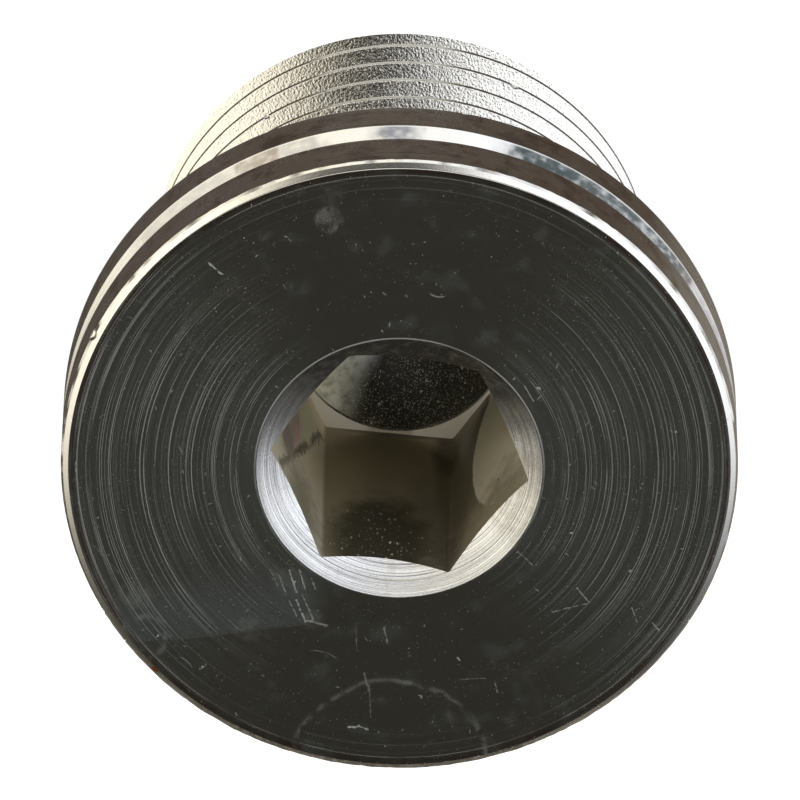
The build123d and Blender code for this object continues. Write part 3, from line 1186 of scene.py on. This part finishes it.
FINISHES = {
    Zone.FACE: FaceFinish(
        "turned_face", colour=(0.758, 0.726, 0.556), roughness=0.12, ring_fineness=16.0, lines=0.62,
        bold=0.45, grain_fineness=17.0, specks=0.25, scratches=0.25, haze=0.55, haze_size=1.0,
        haze_colour=(0.661, 0.726, 0.661), haze_roughness=0.08, pale_colour=(1.0, 0.988, 0.925),
        dust=(Dust(1.8, 0.8, 0.9), Dust(4.0, 0.7, 0.6, 1.5), Dust(8.0, 0.6, 0.35, 2.2)),
        stains_and_light=(RUST,)),
    # The dark patch at 92 degrees is a painted dark reflection, where the chamfer mirrors the
    # floor.
    Zone.EDGE: Finish(
        "cut_edge", colour=(0.87, 0.83, 0.725), roughness=0.16, ring_fineness=9.0, ring_depth=0.002,
        grain_depth=0.002, haze=0.35, haze_size=0.4, haze_colour=(0.581, 0.516, 0.435), specks=0.6,
        patches=(Patch(92.0, 24.0, 0.9, (0.355, 0.323, 0.266), 14.0),), stains_and_light=(RUST,)),
    # The pale patches at -42 and -150 degrees are painted reflections, where the collar mirrors the
    # bright sides of the light.
    Zone.BAND: Finish(
        "collar_side", colour=(0.887, 0.806, 0.702), roughness=0.18, ring_fineness=7.0,
        ring_depth=0.004, lines=0.60, grain_depth=0.006, specks=0.75, haze=0.7, haze_size=0.8,
        haze_colour=(0.323, 0.226, 0.177), haze_roughness=0.06, pale_colour=(1.0, 0.949, 0.878),
        seed=4.0, patches=(
            Patch(-42.0, 10.0, 0.7, (1.0, 0.857, 0.857), 6.0),
            Patch(-118.0, 12.0, 0.5, (0.645, 0.435, 0.355), 6.0),
            Patch(-150.0, 12.0, 0.6, (1.0, 0.959, 0.878), 8.0))),
    # The groove has patches of lilac, dark grey-green and brown round its turn.
    Zone.GROOVE: Finish(
        "groove", colour=(0.92, 0.885, 0.79), roughness=0.18, ring_fineness=8.0, ring_depth=0.003,
        grain_depth=0.003, patch_heights=(15.93, 16.34), patch_weave=(2.2, 2.2, 4.0),
        patch_cloud=0.6, patches=(
            Patch(-81.0, 3.2, 0.35, LILAC, 3.0), Patch(-110.0, 8.0, 0.4, DARK_GREY_GREEN, 6.0),
            Patch(-81.0, 1.5, 0.8, LILAC, 2.5), Patch(-64.0, 3.0, 0.45, LILAC),
            Patch(-56.0, 2.4, 0.85, BROWN), Patch(-40.0, 9.0, 0.35, LILAC, 6.0),
            Patch(-107.0, 4.0, 1.0, DARK_GREY_GREEN), Patch(-124.0, 16.0, 0.95, DARK_GREY_GREEN),
            Patch(-170.0, 28.0, 0.50, BROWN, 10.0), Patch(70.0, 25.0, 0.40, BROWN, 10.0))),
    Zone.THREAD: Finish(
        "thread", roughness=0.09, grain_fineness=12.0, grain_depth=0.020, radial=0.10, specks=1.1),
    Zone.STUD: Finish(
        "stud", roughness=0.26, ring_fineness=5.0, ring_depth=0.004, grain_depth=0.003, haze=0.6),
    # The dark patches at -86 and 172 degrees are painted dark reflections, where the countersink
    # mirrors the dark part of the light.
    Zone.COUNTERSINK: Finish(
        "countersink", colour=(1.0, 0.98, 0.91), roughness=0.18, ring_fineness=11.0,
        ring_depth=0.020, lines=0.80, bold=0.8, grain_depth=0.006,
        pale_colour=(0.274, 0.274, 0.306), pale_roughness=0.05, seed=9.0, haze=0.4, haze_size=0.7,
        patch_cloud=0.6, patches=(
            Patch(-86.0, 40.0, 0.85, (0.161, 0.152, 0.11), 28.0),
            Patch(172.0, 16.0, 0.5, (0.548, 0.516, 0.419), 10.0))),
    # The flats' patches, dark lines and broad spots are painted light: the dark ones are painted
    # reflections and shade, and the pale ones, such as the arc at 165 degrees, the thin lines by
    # the corners and the pink and gold spots on the left flat, are painted highlights and
    # reflections. The specks in the dusty spot are dust.
    Zone.FLAT: Finish(
        "broached_flat", colour=(1.0, 0.92, 0.70), metallic=0.45, roughness=0.34,
        grain_depth=0.004, haze=0.5, haze_colour=(0.96, 0.84, 0.58),
        pale_colour=(1.0, 0.976, 0.881), patch_cloud=0.0, patches=(
            Patch(91.0, 28.0, 1.0, (0.36, 0.315, 0.215), 2.5, 0.0),
            Patch(134.0, 16.0, 1.0, (0.22, 0.19, 0.125), 5.0, 2.0)),
        streaks=(
            Streak((12.0, 4.2, 18.0), (57.0, 4.45, 9.4), 0.34, DARK_REFLECTION, 0.85),
            Streak((30.0, 4.05, 14.6), (58.0, 4.45, 9.2), 0.40, DARK_REFLECTION, 0.7),
            Streak((133.0, 4.2, 14.8), (128.0, 4.32, 17.0), 0.10, NEAR_BLACK),
            Streak((136.0, 4.15, 12.5), (131.0, 4.25, 15.0), 0.08, UMBER, 0.7),
            Streak((127.0, 4.35, 15.8), (125.0, 4.42, 17.6), 0.06, UMBER, 0.8),
        ),
        stains_and_light=(
            StainOrLight((95.0, 4.0, 7.9), (2.2, 0.35), (0.13, 0.11, 0.08), 0.9),
            StainOrLight((121.0, 4.5, 9.3), (0.75, 2.0), (0.10, 0.07, 0.05), 1.0, 0.7),
            StainOrLight((138.0, 4.1, 17.6), (1.9, 3.4), (0.19, 0.165, 0.11), 0.95, 0.8),
            StainOrLight((122.0, 4.45, 16.4), (1.3, 4.4), (0.12, 0.105, 0.07), 0.95, 0.8),
            StainOrLight((110.0, 4.25, 14.6), (1.3, 4.6), (0.25, 0.22, 0.16), 0.8, 0.8),
            StainOrLight((88.0, 4.0, 16.9), (2.45, 4.6), (0.085, 0.076, 0.050), 1.0, 0.5, True),
            StainOrLight((64.2, 4.70, 14.6), (0.05, 4.2), (1.0, 0.941, 0.729), 0.6),
            StainOrLight((68.0, 4.65, 14.6), (0.03, 4.2), (0.80, 0.73, 0.53), 0.4),
            StainOrLight((119.0, 4.55, 15.8), (0.035, 3.0), (0.75, 0.68, 0.54), 0.6),
            StainOrLight((20.0, 4.15, 14.6), (0.8, 1.9), (0.50, 0.41, 0.34)),
            StainOrLight((40.0, 4.05, 17.4), (2.4, 3.6), (0.42, 0.38, 0.25), 0.95, 0.9),
            StainOrLight((26.0, 4.1, 12.2), (0.9, 2.2), (0.62, 0.54, 0.43), 0.9),
            StainOrLight((43.0, 4.08, 10.8), (0.50, 1.7), (1.0, 1.0, 0.7)),
            StainOrLight((36.0, 4.05, 12.0), (0.22, 1.5), (1.0, 0.84, 0.62), 0.9),
            StainOrLight((31.0, 4.03, 13.1), (0.20, 1.3), (1.0, 0.6, 0.55), 0.9),
            StainOrLight((165.4, 4.15, 12.8), (2.02, 5.05), (1.0, 1.0, 0.85), 1.0, 0.05),
            StainOrLight((165.4, 4.15, 12.8), (1.92, 4.82), (1.0, 0.925, 0.72), 1.0, 0.05),
            StainOrLight((168.0, 4.17, 12.0), (0.6, 1.5), (1.0, 0.8, 0.66), 0.7, 0.9),
            StainOrLight((160.0, 4.1, 9.9), (0.7, 1.4), (0.848, 1.0, 0.717), 0.8, 0.9),
            StainOrLight((160.0, 4.05, 18.2), (3.4, 4.4), (0.42, 0.37, 0.25), 1.0, 0.8),
            StainOrLight((159.0, 4.05, 15.75), (0.06, 0.12), (0.048, 0.048, 0.048)),
        )),
    Zone.SHELF: Finish(
        "shelf", colour=(1.0, 0.95, 0.82), metallic=0.0, roughness=0.50, grain_depth=0.010,
        pale_colour=(1.0, 1.0, 0.97), dust=(Dust(7.0, 1.0, 1.0, 3.0),), patch_cloud=0.2,
        patches=(Patch(93.0, 9.0, 0.8, (0.60, 0.48, 0.36), 5.0),
                 Patch(122.0, 8.0, 0.3, (1.0, 0.886, 0.686), 8.0))),
    # The dark patch at 96 degrees is painted shade deep in the bore.
    Zone.PILOT: Finish(
        "pilot", colour=(1.0, 1.0, 0.95), metallic=0.2, roughness=0.5, grain_fineness=16.0,
        grain_depth=0.006, specks=1.0, crowding=0.5, patch_cloud=0.3,
        patches=(Patch(96.0, 34.0, 0.9, (0.10, 0.09, 0.07), 18.0),)),
    # The near-black colour is painted shade at the bottom of the bore, and the pale patch at 18
    # degrees is painted light on the side that light reaches.
    Zone.POINT: Finish(
        "drill_point", colour=(0.029, 0.027, 0.021), roughness=0.34, grain_fineness=18.0,
        grain_depth=0.006, specks=0.6, crowding=0.7, pale_colour=(0.613, 0.613, 0.532),
        dust=(Dust(5.0, 1.0, 0.8, 2.6), Dust(9.0, 1.0, 0.6, 3.6), Dust(15.0, 1.0, 0.5, 4.0)),
        patch_cloud=0.5, patches=(Patch(18.0, 24.0, 1.0, (0.839, 0.887, 0.839), 36.0),)),
}


@dataclass
class Plug:
    """The whole plug: blank, thread, socket and knocks in one closed mesh."""

    blank: Blank = field(default_factory=Blank)
    thread: Thread = field(default_factory=Thread)
    socket: KeySocket = field(default_factory=KeySocket)
    knocks: Knocks = field(default_factory=Knocks)
    skin: float = 0.001
    margin: float = 0.06
    shelf_margin: float = 0.01
    root_margin: float = 0.05
    socket_bottom: float = 5.0
    sloping: float = 0.3
    upright: float = 0.2

    def zone(self, place: Vector, normal: Vector) -> Zone:
        """Say which surface a face belongs to.

        Args:
            place: Middle of the face, in metres.
            normal: The way that the face looks.

        Returns:
            Its surface.
        """
        radius = math.hypot(place.x, place.y) / MM
        height = place.z / MM
        shelf = self.blank.height - self.socket.depth
        inside = radius < self.blank.countersink_radius + self.margin
        if inside and height > shelf - self.socket_bottom:
            if height < shelf - self.shelf_margin:
                return Zone.POINT if normal.z > self.sloping else Zone.PILOT
            if height < shelf + self.shelf_margin:
                return Zone.SHELF
            return Zone.COUNTERSINK if normal.z > self.sloping else Zone.FLAT
        if height > self.blank.seal_height + self.skin:
            if height > self.blank.height - self.skin:
                return Zone.FACE
            groove = self.blank.groove_width / 2 + self.margin / 2
            if abs(height - self.blank.groove_middle) < groove:
                return Zone.GROOVE
            return Zone.BAND if abs(normal.z) < self.upright else Zone.EDGE
        root = self.thread.radius - self.thread.depth - self.root_margin
        on_thread = height < self.blank.relief_from and radius > root
        return Zone.THREAD if on_thread else Zone.STUD

    def build(self) -> Piece:
        """Model the plug and return it."""
        plug = self.blank.build()
        log.info("blank: %d faces", len(plug.data.polygons))
        for cutter in (self.knocks.cutter(), self.socket.cutter(), self.thread.cutter()):
            name = cutter.name
            Bench.cut(plug, cutter)
            log.info("%s cut: %d faces", name, len(plug.data.polygons))
        Bench.shade(plug)
        return plug

    def dress(self, plug: Piece) -> None:
        """Give each surface its finish."""
        effects = Effects()
        plug.data.materials.clear()
        for zone in Zone:
            plug.data.materials.append(FINISHES[zone].material(effects))
        for face in plug.data.polygons:
            face.material_index = self.zone(face.center, face.normal).value
        log.info("plug dressed with %d finishes", len(Zone))


@dataclass
class Floor:
    """The pale floor that the plug stands on, which the metal mirrors as darker than it is: painted
    shade, with one painted glint.
    """

    size: float = 2.0
    paper: float = 0.62
    glow: float = 0.78
    dark_mirror: Colour = (0.093, 0.082, 0.071)
    pale_mirror: Colour = (0.223, 0.205, 0.18)
    pale_way: Triple = (-0.75, 0.65, 0.0)
    pale_from: Spot = (0.002, 0.014)
    glint: Colour = (0.62, 0.62, 0.62)
    glint_angle: float = -77.0
    glint_spread: Spot = (0.93, 0.97)
    glint_edge: Spot = (16.0, 14.0)

    def mirrored(self, graph: Graph) -> Term:
        """Return the colour that mirrored rays see: painted shade, paler to one side, with one
        painted glint, a glowing spot that no lamp makes.
        """
        place = graph.way("TexCoord", output="Object")
        beyond = place.dot(self.pale_way).step(*self.pale_from)
        shine = graph.tint(beyond, self.dark_mirror, self.pale_mirror)
        ahead = place.normal().dot(around((self.glint_angle, 1.0, 0.0)))
        outer, inner = self.glint_edge
        glint = ahead.step(*self.glint_spread) * place.length().step(outer * MM, inner * MM)
        return graph.tint(glint, shine, self.glint)

    def build(self) -> None:
        """Lay the floor."""
        bpy.ops.object.select_all(action="DESELECT")
        bpy.ops.mesh.primitive_plane_add(size=self.size, location=(0, 0, 0))
        floor = bpy.context.object
        floor.name = "floor"
        material = bpy.data.materials.new("floor_paper")
        material.use_nodes = True
        material.node_tree.nodes.clear()
        graph = Graph(material.node_tree)
        path = graph.node("LightPath").outputs
        paper = graph.node("BsdfDiffuse", {"Color": (*(self.paper,) * 3, 1)}).outputs[0]
        glow = graph.node("Emission", {"Strength": self.glow}).outputs[0]
        seen = graph.node("AddShader", {0: paper, 1: glow}).outputs[0]
        shine = graph.node("Emission", {"Color": self.mirrored(graph)}).outputs[0]
        lit = graph.node("MixShader", {0: path["Is Glossy Ray"], 1: paper, 2: shine}).outputs[0]
        shown = graph.node("MixShader", {0: path["Is Camera Ray"], 1: lit, 2: seen}).outputs[0]
        graph.node("OutputMaterial", {"Surface": shown})
        floor.data.materials.append(material)


@dataclass
class Dome:
    """The soft light all round: bright on both sides and low in front, dark overhead and behind.

    Each of the three courses gives the light's strength by the height of its direction.
    """

    azimuth: float
    front: tuple[Spot, ...] = (
        (0, 0.09), (0.12, 0.31), (0.22, 1.1), (0.30, 1.2), (0.46, 1.18), (0.60, 0.43),
        (0.72, 0.031), (1, 0.025))
    back: tuple[Spot, ...] = ((0, 0.05), (0.1, 0.075), (0.35, 0.087), (0.55, 0.031), (1, 0.024))
    side: tuple[Spot, ...] = (
        (0, 0.56), (0.12, 0.85), (0.28, 1.14), (0.46, 1.2), (0.60, 1.5), (0.78, 1.5), (0.88, 0.062),
        (1, 0.028))
    highest: float = 2.0
    side_shift: float = 0.15
    side_turn: Spot = (0.20, 0.72)
    side_end: Spot = (0.2, 0.9)
    front_end: Spot = (-0.2, 0.2)
    overhead: Spot = (2.8, 1.1)
    overhead_from: Spot = (0.960, 0.978)
    cool: Colour = (0.95, 1.0, 1.14)
    warm: Colour = (1.0, 0.97, 0.90)
    warm_turn: Spot = (-0.5, 0.5)
    least_level: float = 0.01

    def course(self, height: Number, knots: tuple[Spot, ...]) -> Number:
        """Return a strength by height, straight between its knots."""
        node = height.graph.node("FloatCurve", {"Value": height})
        curve = node.mapping.curves[0]
        node.mapping.clip_max_y = self.highest
        curve.points[0].location = knots[0]
        curve.points[1].location = knots[-1]
        for knot in knots[1:-1]:
            curve.points.new(*knot)
        for point in curve.points:
            point.handle_type = "VECTOR"
        node.mapping.update()
        return Number(height.graph, node.outputs[0])

    def build(self) -> None:
        """Set the world. The camera sees white, and mirrored rays see a dimmer light overhead."""
        world = bpy.data.worlds.new("studio")
        bpy.context.scene.world = world
        world.use_nodes = True
        world.node_tree.nodes.clear()
        graph = Graph(world.node_tree)
        inputs = {"Vector": graph.way("TexCoord", output="Generated"),
                  "Angle": -math.radians(self.azimuth)}
        way = graph.way("VectorRotate", inputs, rotation_type="Z_AXIS")
        x, y, z = way.parts()
        level = way.level().length() | self.least_level
        across, ahead = x / level, y / level
        front, back, side = (self.course(z, knots) for knots in (self.front, self.back, self.side))
        side = ahead.step(*self.side_end).blend(side, back)
        dome = ahead.step(*self.front_end).blend(front, back)
        dome = abs(across - self.side_shift).step(*self.side_turn).blend(dome, side)
        path = graph.node("LightPath").outputs
        overhead = Number(graph, path["Is Glossy Ray"]).blend(*self.overhead)
        dome = z.step(*self.overhead_from).blend(dome, overhead)
        tint = graph.tint(x.step(*self.warm_turn), self.cool, self.warm)
        soft = graph.node("Background", {"Color": tint, "Strength": dome}).outputs[0]
        white = graph.node("Background", {"Color": (1, 1, 1, 1)}).outputs[0]
        shown = graph.node("MixShader", {0: path["Is Camera Ray"], 1: soft, 2: white}).outputs[0]
        graph.node("OutputWorld", {"Surface": shown})


@dataclass
class Studio:
    """The floor, the light and the camera, which looks down at the head."""

    camera_distance: float = 520.0
    camera_elevation: float = 64.0
    camera_azimuth: float = 8.0
    camera_roll: float = 0.547
    lens: float = 660.6
    sensor: float = 36.0
    nearest: float = 0.01
    drop: float = 2.45

    def camera(self) -> None:
        """Point the camera at the head, with the stud behind it at the top of the frame."""
        high, turn = math.radians(self.camera_elevation), math.radians(self.camera_azimuth)
        level = math.cos(high)
        back = Vector((math.sin(turn) * level, -math.cos(turn) * level, math.sin(high)))
        face = Vector((0, 0, HEAD_HEIGHT * MM))
        spot = face + back * self.camera_distance * MM
        up = (back * back.z - Vector((0, 0, 1))).normalized()
        aim = face + up * self.drop * MM
        back = (spot - aim).normalized()
        up = (up - back * up.dot(back)).normalized()
        up.rotate(Matrix.Rotation(math.radians(self.camera_roll), 3, back))
        data = bpy.data.cameras.new("camera")
        data.lens = self.lens
        data.sensor_width = self.sensor
        data.clip_start = self.nearest
        camera = bpy.data.objects.new("camera", data)
        turned = Matrix((up.cross(back), up, back)).transposed().to_4x4()
        camera.matrix_world = Matrix.Translation(spot) @ turned
        bpy.context.scene.collection.objects.link(camera)
        bpy.context.scene.camera = camera

    def build(self) -> None:
        """Set up the floor, the light and the camera."""
        Floor().build()
        Dome(self.camera_azimuth).build()
        self.camera()
        log.info("studio set")


def main() -> None:
    """Build the plug and its studio."""
    logging.basicConfig(level=logging.INFO, format="%(name)s %(message)s")
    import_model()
    bpy.context.scene.view_settings.view_transform = "Standard"
    maker = Plug()
    plug = maker.build()
    maker.dress(plug)
    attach(plug, "root")
    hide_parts("plug_body")
    Studio().build()


if __name__ == "__main__":
    main()
